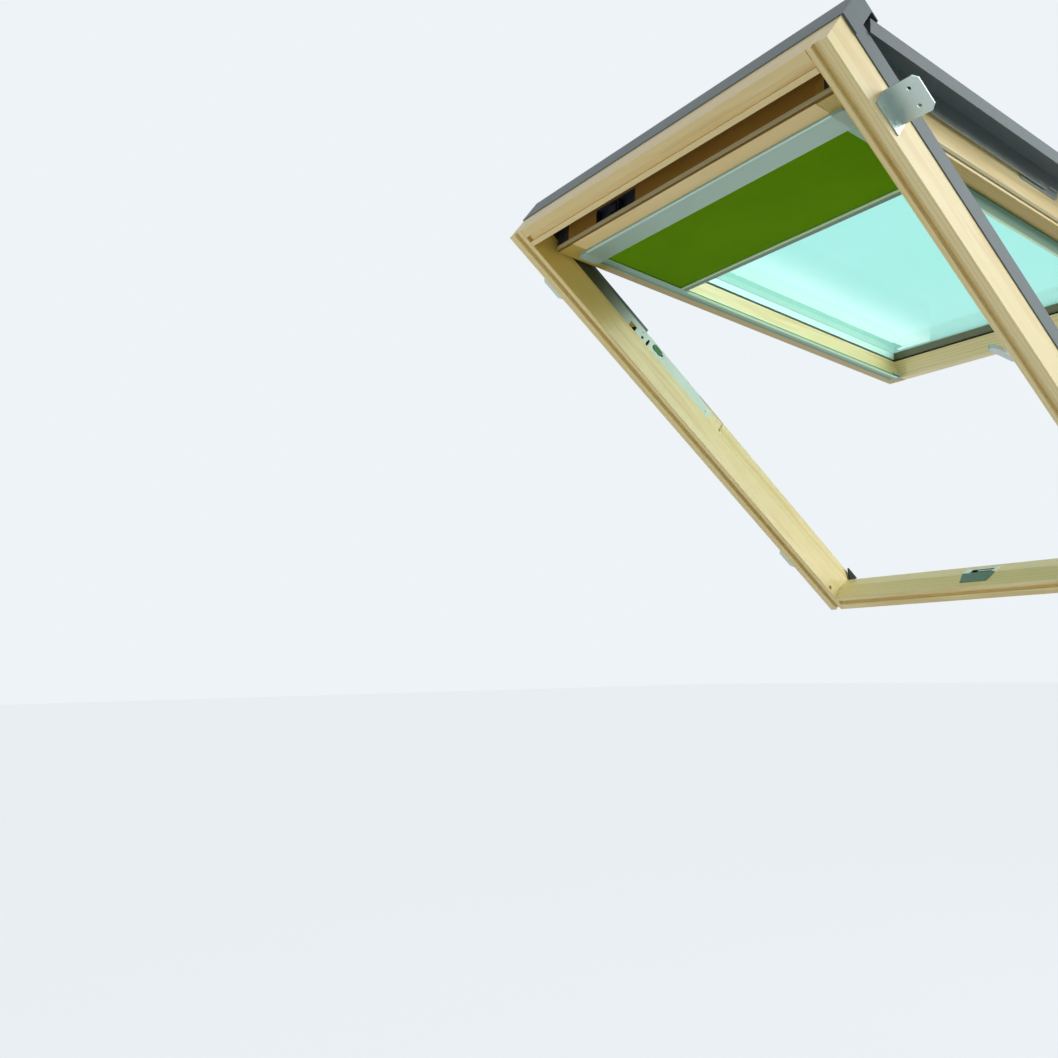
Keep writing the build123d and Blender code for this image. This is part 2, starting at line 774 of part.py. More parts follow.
save(sash_bottom_rail.part, "sash_bottom_rail")

# Double glazing: panes, spacer and the gasket round them
pane_half = inner_half - rebate - gasket_edge
pane_top = down_sash(sash_top_width - rebate_depth + gasket_edge)
pane_bottom = down_sash(bottom_reveal + rebate_depth - gasket_edge)
pane_along = (pane_top, pane_bottom)
pane_across = (-pane_half, pane_half)
with BuildPart() as glass_inner_pane:
    bar(SASH, pane_across, pane_along, (glass_level, glass_level + pane_thickness))
save(glass_inner_pane.part, "glass_inner_pane")

with BuildPart() as glass_outer_pane:
    bar(SASH, pane_across, pane_along, (glass_back - pane_thickness, glass_back))
save(glass_outer_pane.part, "glass_outer_pane")

with BuildPart() as glass_spacer:
    spacer_depth = (glass_level + pane_thickness, glass_back - pane_thickness)
    spacer_along = (pane_top + spacer_setback, pane_bottom - spacer_setback)
    ring(SASH, pane_half - spacer_setback, spacer_along, spacer_width, spacer_depth)
save(glass_spacer.part, "glass_spacer")

gasket_along = (pane_top - gasket_edge, pane_bottom + gasket_edge)
with BuildPart() as glazing_gasket:
    ring(SASH, pane_half + gasket_edge, gasket_along, rebate_depth - 0.4, (gasket_level, gasket_back))
    bar(SASH, pane_across, pane_along, (glass_level, glass_back), Mode.SUBTRACT)
save(glazing_gasket.part, "glazing_gasket")

# Beads that hold the glass, sloping from the wood down to the edge of the gasket
bead_back = sash_back + bead_thickness
bead_lip = gasket_back + bead_edge
upper_rebate = sash_top_width - rebate_depth
lower_rebate = bottom_reveal + rebate_depth
with BuildPart() as sash_bead_top:
    with BuildSketch(section_along(SASH, -sash_half + 2)):
        edge = sash_top_width - bead_setback
        sash_rail_section([
            (4, sash_back),
            (upper_rebate, sash_back),
            (upper_rebate, gasket_back),
            (edge, gasket_back),
            (edge, bead_lip),
            (edge - bead_slope, bead_back),
            (4, bead_back),
        ])
    extrude(amount=2 * sash_half - 4)
    for side, name in SIDES:
        end_x = (inward(side, side_gap), inward(side, reveal - bead_setback))
        end_y = (down_sash(upper_rebate), down_sash(sash_top_width))
        bar(SASH, end_x, end_y, (gasket_back - 1, bead_back + 1), Mode.SUBTRACT)
save(sash_bead_top.part, "sash_bead_top")

for side, name in SIDES:
    with BuildPart() as sash_bead:
        with BuildSketch(section_across(SASH, down_sash(lower_rebate))):
            edge = reveal - bead_setback
            stile_section(side, [
                (side_gap + 2, sash_back),
                (rebate, sash_back),
                (rebate, gasket_back),
                (edge, gasket_back),
                (edge, bead_lip),
                (edge - bead_slope, bead_back),
                (side_gap + 2, bead_back),
            ])
        extrude(amount=lower_rebate - upper_rebate)
    save(sash_bead.part, f"sash_bead_{name}")

# Covers on the lower half, riding with the sash and standing over the frame
cover_end = inner_length + rail_width + sheet + cover_overhang
foot_across = side_gap + cover_foot
foot_end = foot_across + sheet
for side, name in SIDES:
    with BuildPart() as sash_cover:
        along = (drop(cover_split), drop(cover_end))
        cover_x = (inward(side, foot_end), side * (flange_x + sheet))
        bar(SASH, cover_x, along, (cover_level, cover_back))
        bar(SASH, (side * flange_x, side * (flange_x + sheet)), along, (flange_level, cover_back))
        foot_x = (inward(side, foot_across), inward(side, foot_end))
        bar(SASH, foot_x, (drop(cover_split), down_sash(lower_rebate)), (bead_back, cover_level))
        bar(SASH, foot_x, (down_sash(lower_rebate), drop(cover_end)), (sash_back, cover_level))
        bar(SASH, cover_x, (drop(cover_end), drop(cover_end) - sheet), (flange_level, cover_back))
    save(sash_cover.part, f"sash_cover_{name}")

# Flat cover over the bottom rail, with the lower bead in one with it
with BuildPart() as sash_cover_bottom:
    cover_half = inner_half - foot_end - 0.4
    with BuildSketch(section_along(SASH, -cover_half)):
        edge = bottom_reveal + bead_setback
        nose = cover_end - top_gap
        sash_rail_section([
            (lower_rebate, sash_back),
            (nose - sheet, sash_back),
            (nose - sheet, flange_level),
            (nose, flange_level),
            (nose, bead_back),
            (edge + bead_slope, bead_back),
            (edge, bead_lip),
            (edge, gasket_back),
            (lower_rebate, gasket_back),
        ])
    extrude(amount=2 * cover_half)
    for side, name in SIDES:
        end_x = (inward(side, side_gap), inward(side, reveal - bead_setback))
        end_y = (down_sash(bottom_reveal), down_sash(lower_rebate))
        bar(SASH, end_x, end_y, (gasket_back - 1, bead_back + 1), Mode.SUBTRACT)
save(sash_cover_bottom.part, "sash_cover_bottom")

# Caps over the lower corners of the covers
for side, name in SIDES:
    with BuildPart() as cover_corner:
        outer_x = flange_x + 2 * sheet
        along = (drop(cover_end) + sheet - corner_length, drop(cover_end) + sheet)
        across = (side * (outer_x - corner_width), side * outer_x)
        bar(SASH, across, along, (flange_level - sheet, cover_back + sheet))
        hollow_x = (side * (outer_x - corner_width - 1), side * (outer_x - sheet))
        hollow_y = (along[0] - 1, along[1] - sheet)
        bar(SASH, hollow_x, hollow_y, (flange_level - sheet - 1, cover_back), Mode.SUBTRACT)
        outside = cover_corner.edges().filter_by(SASH_OUTWARD).sort_by_distance(
            SASH.from_local_coords((side * outer_x, along[1], level(cover_level)))
        )[0]
        fillet(outside, 1.8)
    save(cover_corner.part, f"cover_corner_{name}")

# Bearing plates of the middle pivot, let flat on the sides of the sash
for side, name in SIDES:
    with BuildPart() as pivot_plate:
        with BuildSketch(section_along(SASH, inward(side, side_gap))):
            with Locations((pivot_spot[0], level(70))):
                RectangleRounded(pivot_plate_length, pivot_plate_height, 6)
            with Locations(pivot_spot):
                Circle(12)
                Circle(pivot_pin_radius + pin_clearance, mode=Mode.SUBTRACT)
        extrude(amount=side * pivot_plate_thickness)
    save(pivot_plate.part, f"pivot_plate_{name}")

# Seal round the edge of the sash
with BuildPart() as sash_gasket:
    seal_level = gasket_groove_level + (gasket_groove_height - gasket_height) / 2
    seal_half = sash_half + gasket_reach
    seal_along = (sash_top - gasket_reach, sash_bottom + gasket_reach)
    seal_band = gasket_reach + gasket_groove_depth
    ring(SASH, seal_half, seal_along, seal_band, (seal_level, seal_level + gasket_height))
    for side, name in SIDES:
        for end_y in seal_along:
            edge = sash_gasket.edges().filter_by(SASH_OUTWARD).sort_by_distance(
                SASH.from_local_coords((side * seal_half, end_y, level(seal_level + 3)))
            )[0]
            fillet(edge, 2)
save(sash_gasket.part, "sash_gasket")

# Lock case let into the top end of the sash, in two chambers with the lock's bolt in the first
split = case_start + case_split * case_length
with BuildPart() as top_lock_case:
    bar(SASH, case_x, (sash_top, sash_top + case_depth), case_d)
    inner_x = (inward(-1, case_start + case_wall), inward(-1, case_start + case_length - case_wall))
    inner_d = (case_d[0] + case_wall, case_d[1] - case_wall)
    floor_y = sash_top + case_depth - case_wall
    bar(SASH, inner_x, (sash_top - 1, floor_y), inner_d, Mode.SUBTRACT)
    wall_x = (inward(-1, split), inward(-1, split + case_wall))
    bar(SASH, wall_x, (sash_top, floor_y + 0.5), (inner_d[0] - 0.5, inner_d[1] + 0.5))
    bolt_x = (inward(-1, split - 2 * case_depth), inward(-1, split - 0.6 * case_depth))
    bolt_d = (inner_d[0] + 3 * case_wall, inner_d[1] - 2 * case_wall)
    bar(SASH, bolt_x, (sash_top + case_wall, floor_y + 0.5), bolt_d)
save(top_lock_case.part, "top_lock_case")

# Catches folded round the upper corners of the sash, each with a round bolt head
with BuildPart() as corner_catches:
    catch_d = (catch_level, catch_level + catch_height)
    for side, name in SIDES:
        catch_x = (inward(side, side_gap - catch_sheet), inward(side, side_gap + catch_width))
        bar(SASH, catch_x, (sash_top - catch_sheet, sash_top), catch_d)
        leg_x = (inward(side, side_gap - catch_sheet), inward(side, side_gap))
        bar(SASH, leg_x, (sash_top - catch_sheet, sash_top + catch_leg), catch_d)
        with BuildSketch(section_across(SASH, sash_top - catch_sheet)):
            with Locations((inward(side, side_gap + 0.7 * catch_width), level(sum(catch_d) / 2))):
                Circle(catch_bolt_radius)
        extrude(amount=catch_bolt_height)
save(corner_catches.part, "corner_catches")

# Blind cassette: a folded shell that opens where the cloth leaves it
front_level = sash_level - cassette_front
cassette_end = cassette_drop + cassette_height
body_start = sash_top_width + 2
body_end = cassette_end - 2
wall = cassette_wall
with BuildPart() as blind_cassette:
    front_half = inner_half - reveal + 2.5
    body_half = inner_half - reveal - 1
    with BuildSketch(section_along(SASH, -front_half)) as section:
        sash_rail_section([
            (cassette_drop, front_level),
            (cassette_end, front_level),
            (cassette_end, sash_level),
            (cassette_drop, sash_level),
        ])
        upper_corner = (down_sash(cassette_drop), level(front_level), 0)
        lower_corner = (down_sash(cassette_end), level(front_level), 0)
        fillet(section.vertices().sort_by_distance(upper_corner)[0], cassette_round)
        fillet(section.vertices().sort_by_distance(lower_corner)[0], cassette_wall)
    extrude(amount=2 * front_half)
    body = (sash_level, sash_level + cassette_back)
    bar(SASH, (-body_half, body_half), (down_sash(body_start), down_sash(body_end)), body)
    inside = (down_sash(cassette_drop + wall), down_sash(cassette_end - wall))
    wide = (-front_half - 1, front_half + 1)
    bar(SASH, wide, inside, (front_level + wall, sash_level - wall / 2), Mode.SUBTRACT)
    inside = (down_sash(body_start + wall), down_sash(body_end - wall))
    bar(SASH, wide, inside, (sash_level - wall, body[1] - wall), Mode.SUBTRACT)
    slot = (sash_level - fabric_offset - 2, sash_level - fabric_offset + 2)
    slot_y = (down_sash(cassette_end - 6), down_sash(cassette_end + 1))
    bar(SASH, wide, slot_y, slot, Mode.SUBTRACT)
save(blind_cassette.part, "blind_cassette")

# End caps of the cassette, each with the bearing plate of the roller
cap_half = inner_half - reveal + 2.5
roller_spot = (down_sash(cassette_drop + cassette_height / 2 + 2), level(sash_level + roller_level))
bearing_x = inner_half - reveal - 1.8
with BuildPart() as blind_end_caps:
    for side, name in SIDES:
        with BuildSketch(SASH.offset(level(front_level))) as section:
            middle_y = down_sash(cassette_drop + cassette_height / 2)
            with Locations((side * (cap_half + cap_width / 2), middle_y)):
                Rectangle(cap_width, cassette_height)
            for distance in (cassette_drop, cassette_end):
                corner = (side * (cap_half + cap_width), down_sash(distance), 0)
                fillet(section.vertices().sort_by_distance(corner)[0], cap_round)
        extrude(amount=cassette_front)
        plug_y = (down_sash(cassette_drop + wall + 0.2), down_sash(cassette_end - 8))
        bar(SASH, (side * bearing_x, side * cap_half), plug_y, (front_level + wall + 0.2, sash_level - 1))
        plate_y = (down_sash(body_start + wall + 0.2), down_sash(body_end - wall - 0.2))
        plate_d = (front_level + wall + 0.2, sash_level + cassette_back - wall - 0.2)
        bar(SASH, (side * bearing_x, side * (bearing_x + 1.5)), plate_y, plate_d)
        with BuildSketch(section_along(SASH, side * (bearing_x - 1))):
            with Locations(roller_spot):
                Circle(journal_radius + pin_clearance)
        extrude(amount=side * 3, mode=Mode.SUBTRACT)
save(blind_end_caps.part, "blind_end_caps")

# Side guides, grooved for the bottom bar
groove_half = groove_width / 2
groove_middle = sash_level - fabric_offset
guide_start = cassette_end
guide_stop = sash_length - guide_end
for side, name in SIDES:
    with BuildPart() as blind_guide:
        inset = side_gap + guide_inset
        with BuildSketch(section_across(SASH, down_sash(guide_stop))) as section:
            outer, inner = inset, inset + guide_width
            stile_section(side, [
                (outer, sash_level),
                (outer, sash_level - guide_thickness + guide_step),
                (outer + 3 * guide_step, sash_level - guide_thickness),
                (inner, sash_level - guide_thickness),
                (inner, groove_middle - groove_half),
                (inner - groove_depth, groove_middle - groove_half),
                (inner - groove_depth, groove_middle + groove_half),
                (inner, groove_middle + groove_half),
                (inner, sash_level),
            ])
            corner = (inward(side, inner), level(sash_level - guide_thickness), 0)
            fillet(section.vertices().sort_by_distance(corner)[0], guide_step / 2)
        extrude(amount=down_sash(guide_stop) - down_sash(guide_start))
    save(blind_guide.part, f"blind_guide_{name}")

# End stops of the guides, each with a flat hook beside it for the bottom bar
with BuildPart() as blind_guide_ends:
    for side, name in SIDES:
        inset = side_gap + guide_inset
        guide_edge = inset + guide_width
        stop = (inward(side, inset), inward(side, guide_edge + stop_reach))
        stop_y = (down_sash(guide_stop), down_sash(guide_stop + stop_length))
        bar(SASH, stop, stop_y, (sash_level - guide_thickness, sash_level))
        hook = (inward(side, guide_edge + 1), inward(side, guide_edge + hook_reach))
        hook_y = (down_sash(guide_stop - hook_length), stop_y[1])
        bar(SASH, hook, hook_y, (sash_level - guide_step, sash_level))
save(blind_guide_ends.part, "blind_guide_ends")

# Roller with the wound cloth
roll_half = inner_half - reveal - 2.3
with BuildPart() as blind_roller:
    for side, name in SIDES:
        with BuildSketch(section_along(SASH, side * (roll_half - 2))):
            with Locations(roller_spot):
                Circle(journal_radius)
        extrude(amount=side * 3.8)
    with BuildSketch(section_along(SASH, -roll_half)):
        with Locations(roller_spot):
            Circle(roller_radius)
    extrude(amount=2 * roll_half)
save(blind_roller.part, "blind_roller")

with BuildPart() as blind_roll:
    with BuildSketch(section_along(SASH, -roll_half)):
        with Locations(roller_spot):
            Circle(roll_radius)
            Circle(roller_radius, mode=Mode.SUBTRACT)
    extrude(amount=2 * roll_half)
save(blind_roll.part, "blind_roll")

# Cloth between the roll and the bottom bar, drawn part of the way down
fabric_end = cassette_end + fabric_drop
with BuildPart() as blind_fabric:
    half = fabric_thickness / 2
    fabric_y = (roller_spot[0], down_sash(fabric_end))
    bar(SASH, (-roll_half, roll_half), fabric_y, (groove_middle - half, groove_middle + half))
save(blind_fabric.part, "blind_fabric")

with BuildPart() as blind_bottom_bar:
    bar_y = (down_sash(fabric_end), down_sash(fabric_end + bar_height))
    half = bar_thickness / 2
    guide_edge = side_gap + guide_inset + guide_width
    bar_half = inner_half - guide_edge - 0.7
    bar(SASH, (-bar_half, bar_half), bar_y, (groove_middle - half, groove_middle + half))
    edges = blind_bottom_bar.edges().filter_by(Axis.X)
    fillet(edges, bar_thickness / 4)
    for side, name in SIDES:
        tongue = (side * (bar_half - 1), inward(side, guide_edge - groove_depth + 1))
        tongue_d = (groove_middle - groove_half + 0.1, groove_middle + groove_half - 0.1)
        bar(SASH, tongue, (bar_y[0] + 3, bar_y[1] - 3), tongue_d)
save(blind_bottom_bar.part, "blind_bottom_bar")

# Handle on the bottom rail, turning a latch that reaches into the strike plate
handle_y = down_sash(sash_length - handle_setback)
rosette_level = sash_level - rosette_height
with BuildPart() as handle_rosette:
    with BuildSketch(SASH.offset(level(rosette_level))):
        with Locations((0, handle_y)):
            RectangleRounded(rosette_length, rosette_width, rosette_height)
            Circle(spindle_radius + spindle_clearance, mode=Mode.SUBTRACT)
    extrude(amount=sash_level - rosette_level)
save(handle_rosette.part, "handle_rosette")

with BuildPart() as handle_lever:
    with BuildSketch(SASH.offset(level(rosette_level - 0.2))):
        with Locations((0, handle_y)):
            Circle(lever_width / 2)
    extrude(amount=-lever_stand)
    with BuildSketch(SASH.offset(level(rosette_level - 0.2 - lever_stand))) as section:
        with Locations((0, handle_y - lever_length / 2 + lever_width / 2)):
            SlotOverall(lever_length, lever_width, rotation=90)
    extrude(amount=lever_thickness)
    with BuildSketch(SASH.offset(level(rosette_level - 0.2))):
        with Locations((0, handle_y)):
            Circle(spindle_radius)
    extrude(amount=latch_level + latch_thickness / 2 - rosette_level + 0.2)
save(handle_lever.part, "handle_lever")

with BuildPart() as latch_cam:
    with BuildSketch(SASH.offset(level(latch_level - latch_thickness / 2))):
        with Locations((latch_reach / 2, handle_y)):
            SlotOverall(latch_reach + latch_width, latch_width)
        with Locations((0, handle_y)):
            Circle(spindle_radius, mode=Mode.SUBTRACT)
    extrude(amount=latch_thickness)
save(latch_cam.part, "latch_cam")
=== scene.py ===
import json
import math

import bpy
from mathutils import Matrix, Vector


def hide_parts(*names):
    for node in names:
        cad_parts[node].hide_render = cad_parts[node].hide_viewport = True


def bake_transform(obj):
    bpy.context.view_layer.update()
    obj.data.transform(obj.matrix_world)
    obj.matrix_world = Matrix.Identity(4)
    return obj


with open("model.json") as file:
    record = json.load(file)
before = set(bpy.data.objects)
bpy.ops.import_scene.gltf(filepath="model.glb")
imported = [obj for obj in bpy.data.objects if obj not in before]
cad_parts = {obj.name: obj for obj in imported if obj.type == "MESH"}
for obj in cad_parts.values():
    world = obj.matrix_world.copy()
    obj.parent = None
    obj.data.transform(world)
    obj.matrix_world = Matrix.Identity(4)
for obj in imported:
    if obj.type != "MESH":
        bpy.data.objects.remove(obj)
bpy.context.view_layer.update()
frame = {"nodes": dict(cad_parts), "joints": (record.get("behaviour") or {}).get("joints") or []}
nodes = frame["nodes"]

PITCH = math.radians(38.0)
OPEN = math.radians(32.3)
SASH_PITCH = PITCH - OPEN
HINGE = Vector(next(joint["pos_m"] for joint in frame["joints"] if joint["name"] == "top_hinge"))
DOWN = Vector((0, math.cos(PITCH), -math.sin(PITCH)))
OUT = Vector((0, math.sin(PITCH), math.cos(PITCH)))
SASH_DOWN = Vector((0, math.cos(SASH_PITCH), -math.sin(SASH_PITCH)))
SASH_OUT = Vector((0, math.sin(SASH_PITCH), math.cos(SASH_PITCH)))

# Where the origin lies in the frame, in mm down from the top rail's inner face and outward
ORIGIN_DROP, ORIGIN_DEPTH = 1138.5, 40
# From the top hinge down to the sash's top end, and how far outward the hinge and the closed
# sash's room side lie in the frame, in mm
HINGE_GAP, HINGE_DEPTH, SASH_DEPTH = 16.6, 91.7, 12


def roof(across, drop, depth):
    """A point of the frame: mm from the middle, down from the top rail's inner face, outward."""
    return (Vector((across, 0, 0)) + DOWN * (drop - ORIGIN_DROP)
            + OUT * (depth - ORIGIN_DEPTH)) / 1000


def sash(across, drop, depth):
    """A point of the open sash: mm from the middle, down from its top end, outward from its room
    side."""
    return HINGE + (Vector((across, 0, 0)) + SASH_DOWN * (drop + HINGE_GAP)
                    + SASH_OUT * (depth + SASH_DEPTH - HINGE_DEPTH)) / 1000


def roof_y(*drops):
    """Y of these drops of the frame in its materials' turned coordinates."""
    return [roof(0, drop, 0).dot(DOWN) for drop in drops]


def sash_y(*drops):
    """Y of these drops of the open sash in its materials' turned coordinates."""
    return [sash(0, drop, 0).dot(SASH_DOWN) for drop in drops]


def sash_z(*depths):
    """Z of these depths of the open sash in its materials' turned coordinates."""
    return [sash(0, 0, depth).dot(SASH_OUT) for depth in depths]


def rgb(r, g, b):
    """Linear colour of an sRGB colour written 0 to 255."""
    return tuple((c / 255 / 12.92) if c <= 10 else ((c / 255 + 0.055) / 1.055) ** 2.4
                 for c in (r, g, b))


def opaque(r, g, b):
    """The same with an alpha of 1, for a socket."""
    return (*rgb(r, g, b), 1)


# Node trees
MIX_FACTOR, MIX_A, MIX_B, MIX_RESULT = 0, 6, 7, 2  # the Mix node's sockets for colours


class Tree:
    """A node tree with short calls for the nodes used here."""

    def __init__(self, tree):
        self.tree = tree

    def add(self, kind, inputs=(), **settings):
        node = self.tree.nodes.new("ShaderNode" + kind)
        for key, value in settings.items():
            setattr(node, key, value)
        for key, value in dict(inputs).items():
            if isinstance(value, bpy.types.NodeSocket):
                self.tree.links.new(value, node.inputs[key])
            else:
                node.inputs[key].default_value = value
        return node

    def place(self, turn=0.0, scale=(1, 1, 1), location=(0, 0, 0)):
        """Object coordinates turned about X by an angle, then scaled and moved."""
        coord = self.add("TexCoord").outputs["Object"]
        turned = self.add("VectorRotate", {"Vector": coord, "Angle": turn},
                          rotation_type="X_AXIS").outputs[0]
        return self.add("Mapping", {"Vector": turned, "Scale": scale,
                                    "Location": location}).outputs[0]

    def axes(self, turn):
        """The turned coordinates by axis, with X as the distance from the middle."""
        apart = self.add("SeparateXYZ", {"Vector": self.place(turn)}).outputs
        return {"X": self.math("ABSOLUTE", apart["X"]), "Y": apart["Y"], "Z": apart["Z"]}

    def noise(self, vector, scale, detail=3.0, roughness=0.5, distortion=0.0):
        return self.add("TexNoise", {"Vector": vector, "Scale": scale, "Detail": detail,
                                     "Roughness": roughness,
                                     "Distortion": distortion}).outputs["Fac"]

    def wave(self, vector, direction, **inputs):
        inputs = {key.replace("_", " "): value for key, value in inputs.items()}
        return self.add("TexWave", {"Vector": vector, **inputs}, wave_type="BANDS",
                        bands_direction=direction).outputs["Fac"]

    def ramp(self, value, stops):
        node = self.add("ValToRGB", {"Fac": value})
        elements = node.color_ramp.elements
        while len(elements) < len(stops):
            elements.new(0.5)
        for element, (position, colour) in zip(elements, stops):
            element.position = position
            element.color = (*colour, 1)
        return node.outputs["Color"]

    def mix(self, factor, a, b, blend="MIX"):
        node = self.add("Mix", data_type="RGBA", blend_type=blend)
        for index, value in ((MIX_FACTOR, factor), (MIX_A, a), (MIX_B, b)):
            socket = node.inputs[index]
            if isinstance(value, bpy.types.NodeSocket):
                self.tree.links.new(value, socket)
            else:
                socket.default_value = value if isinstance(value, float) else (*value, 1)
        return node.outputs[MIX_RESULT]

    def math(self, operation, a, b=0.0):
        return self.add("Math", {0: a, 1: b}, operation=operation).outputs[0]

    def span(self, value, low, high):
        """0 to 1 turned into low to high."""
        return self.add("MapRange", {"Value": value, "To Min": low, "To Max": high}).outputs[0]

    def fade(self, value, start, end):
        """0 up to start, 1 from end on."""
        return self.add("MapRange", {"Value": value, "From Min": start, "From Max": end},
                        interpolation_type="SMOOTHSTEP").outputs[0]

    def band(self, colour, turn, painted_light_bands):
        """The colour with others laid over it from a place on: (axis, start, end, other)."""
        axes = self.axes(turn)
        for axis, start, end, other in painted_light_bands:
            colour = self.mix(self.fade(axes[axis], start, end), colour, other)
        return colour

    def seen_share(self, camera_share):
        """1 for rays that glass or gloss sends on, and this share for the camera's own."""
        path = self.add("LightPath").outputs
        sent_on = self.math("MAXIMUM", path["Is Glossy Ray"], path["Is Transmission Ray"])
        own = self.math("MULTIPLY", path["Is Camera Ray"], camera_share)
        return self.math("MAXIMUM", own, sent_on)

    def show(self, factor, first, second, output="Material Output"):
        """Shows the first shader where the factor is 0 and the second where it is 1."""
        mixed = self.add("MixShader", {0: factor, 1: first.outputs[0], 2: second.outputs[0]})
        self.tree.links.new(mixed.outputs[0], self.tree.nodes[output].inputs["Surface"])


class Finish(Tree):
    """A new material with a Principled shader."""

    def __init__(self, name, **sockets):
        self.material = bpy.data.materials.new(name)
        self.material.use_nodes = True
        super().__init__(self.material.node_tree)
        self.shader = self.tree.nodes["Principled BSDF"]
        for key, value in sockets.items():
            self.shader.inputs[key.replace("_", " ")].default_value = value

    def set(self, name, value):
        self.tree.links.new(value, self.shader.inputs[name])

    def bump(self, height, strength, distance):
        self.set("Normal", self.add("Bump", {"Height": height, "Strength": strength,
                                             "Distance": distance}).outputs[0])


# Materials
def drawn_out(along, long, fine):
    """The scale of a pattern that is drawn out along "x", or down the slope, "y"."""
    return (long, fine, fine) if along == "x" else (fine, long, fine)


def pine(name, turn, along, shift, shade_tint=0.0, painted_shade=(), pocket_shade=None):
    """Lacquered pine with its grain along "x", or down the slope, "y".

    shift moves the grain, and shade_tint darkens and reddens the whole piece, as painted shade.
    painted_shade lists faces darkened as painted shade: an axis, where the unshaded wood starts and
    is full along it, how far out across the window the face goes, and the colour that it is
    multiplied by.
    pocket_shade is the room behind a plate, painted dark as shade: its limits in X both ways, Y and
    Z.
    """
    m = Finish(name, Coat_Weight=0.25, Coat_Roughness=0.25)
    vector = m.place(turn, drawn_out(along, 1.0, 14.0), shift)
    wander = m.noise(vector, 1.1, 2, 0.5, 0.4)
    rings = m.wave(vector, "Z" if along == "x" else "X", Scale=3.6, Distortion=5.5, Detail=2.0,
                   Detail_Scale=0.7)
    fibre = m.noise(m.place(turn, drawn_out(along, 6, 900)), 1.0, 4, 0.6)
    base = m.ramp(rings, [(0.0, rgb(238, 219, 152)), (0.55, rgb(243, 229, 170)),
                          (0.85, rgb(230, 203, 130)), (1.0, rgb(220, 187, 112))])
    tone = m.ramp(wander, [(0.3, rgb(232, 213, 144)), (0.7, rgb(250, 239, 188))])
    colour = m.mix(0.5, base, tone)
    colour = m.mix(m.span(fibre, 0.0, 0.2), colour, rgb(196, 164, 102))
    # Painted shade: the whole piece darker and redder
    if shade_tint:
        colour = m.mix(shade_tint, colour, rgb(226, 176, 104), "MULTIPLY")
    # Painted shade: these faces are darkened and browned where shade falls on them
    for axis, start, end, limit, shade_colour in painted_shade:
        axes = m.axes(turn)
        beyond = m.math("GREATER_THAN", axes["X"], limit)
        unshaded = m.math("MAXIMUM", m.fade(axes[axis], start, end), beyond)
        colour = m.mix(unshaded, m.mix(1.0, colour, shade_colour, "MULTIPLY"), colour)
    # Painted shade: the wood in the pocket behind a plate is painted dark
    if pocket_shade:
        inside = 1.0
        for value, (low, high) in zip(m.axes(turn).values(), pocket_shade):
            inside = m.math("MULTIPLY", inside, m.math("GREATER_THAN", value, low))
            inside = m.math("MULTIPLY", inside, m.math("LESS_THAN", value, high))
        colour = m.mix(inside, colour, rgb(70, 58, 34))
    m.set("Base Color", colour)
    m.set("Roughness", m.span(fibre, 0.38, 0.52))
    m.bump(m.math("ADD", fibre, m.math("MULTIPLY", rings, 0.6)), 0.12, 0.0003)
    return m.material


def painted(name, colour, rough=0.5):
    """Powder-coated sheet metal with a fine orange-peel surface."""
    m = Finish(name, Metallic=0.15, Specular_IOR_Level=0.45)
    fine = m.noise(m.place(), 900, 2)
    cloud = m.noise(m.place(), 7, 3)
    darker = tuple(c * 0.78 for c in colour)
    m.set("Base Color", m.mix(m.span(cloud, 0.2, 0.8), darker, colour))
    m.set("Roughness", m.span(cloud, rough - 0.08, rough + 0.1))
    m.bump(fine, 0.18, 0.0002)
    return m.material


def metal(name, colour, rough, turn, along="y", metallic=0.85, specular=0.5, painted_light_bands=()):
    """Rolled or anodised metal with faint lines along its length, and painted light and shade laid
    over it in bands.
    """
    m = Finish(name, Metallic=metallic, Specular_IOR_Level=specular)
    lines = m.noise(m.place(turn, drawn_out(along, 8, 1200)), 1.0, 3, 0.6)
    cloud = m.noise(m.place(turn), 16, 3)
    lighter = tuple(min(1.0, c * 1.18) for c in colour)
    shade = m.mix(m.span(cloud, 0.1, 0.9), colour, lighter)
    m.set("Base Color", m.band(shade, turn, painted_light_bands) if painted_light_bands else shade)
    m.set("Roughness", m.math("ADD", m.span(lines, -0.06, 0.06),
                              m.span(cloud, rough - 0.05, rough + 0.08)))
    m.bump(lines, 0.08, 0.0001)
    return m.material


def rubber(name, colour):
    """Matt rubber, dusty in its pores."""
    m = Finish(name, Specular_IOR_Level=0.3)
    fine = m.noise(m.place(), 700, 2)
    lighter = tuple(min(1.0, c * 1.5 + 0.01) for c in colour)
    m.set("Base Color", m.mix(m.span(fine, 0.1, 0.7), colour, lighter))
    m.set("Roughness", m.span(fine, 0.67, 0.83))
    m.bump(fine, 0.2, 0.0002)
    return m.material


def plastic(name, colour, rough):
    """Moulded plastic with a finely etched surface."""
    m = Finish(name, Specular_IOR_Level=0.5)
    fine = m.noise(m.place(), 1400, 2)
    cloud = m.noise(m.place(), 30, 2)
    darker = tuple(c * 0.86 for c in colour)
    m.set("Base Color", m.mix(cloud, darker, colour))
    m.set("Roughness", m.span(cloud, rough - 0.06, rough + 0.06))
    m.bump(fine, 0.15, 0.0001)
    return m.material


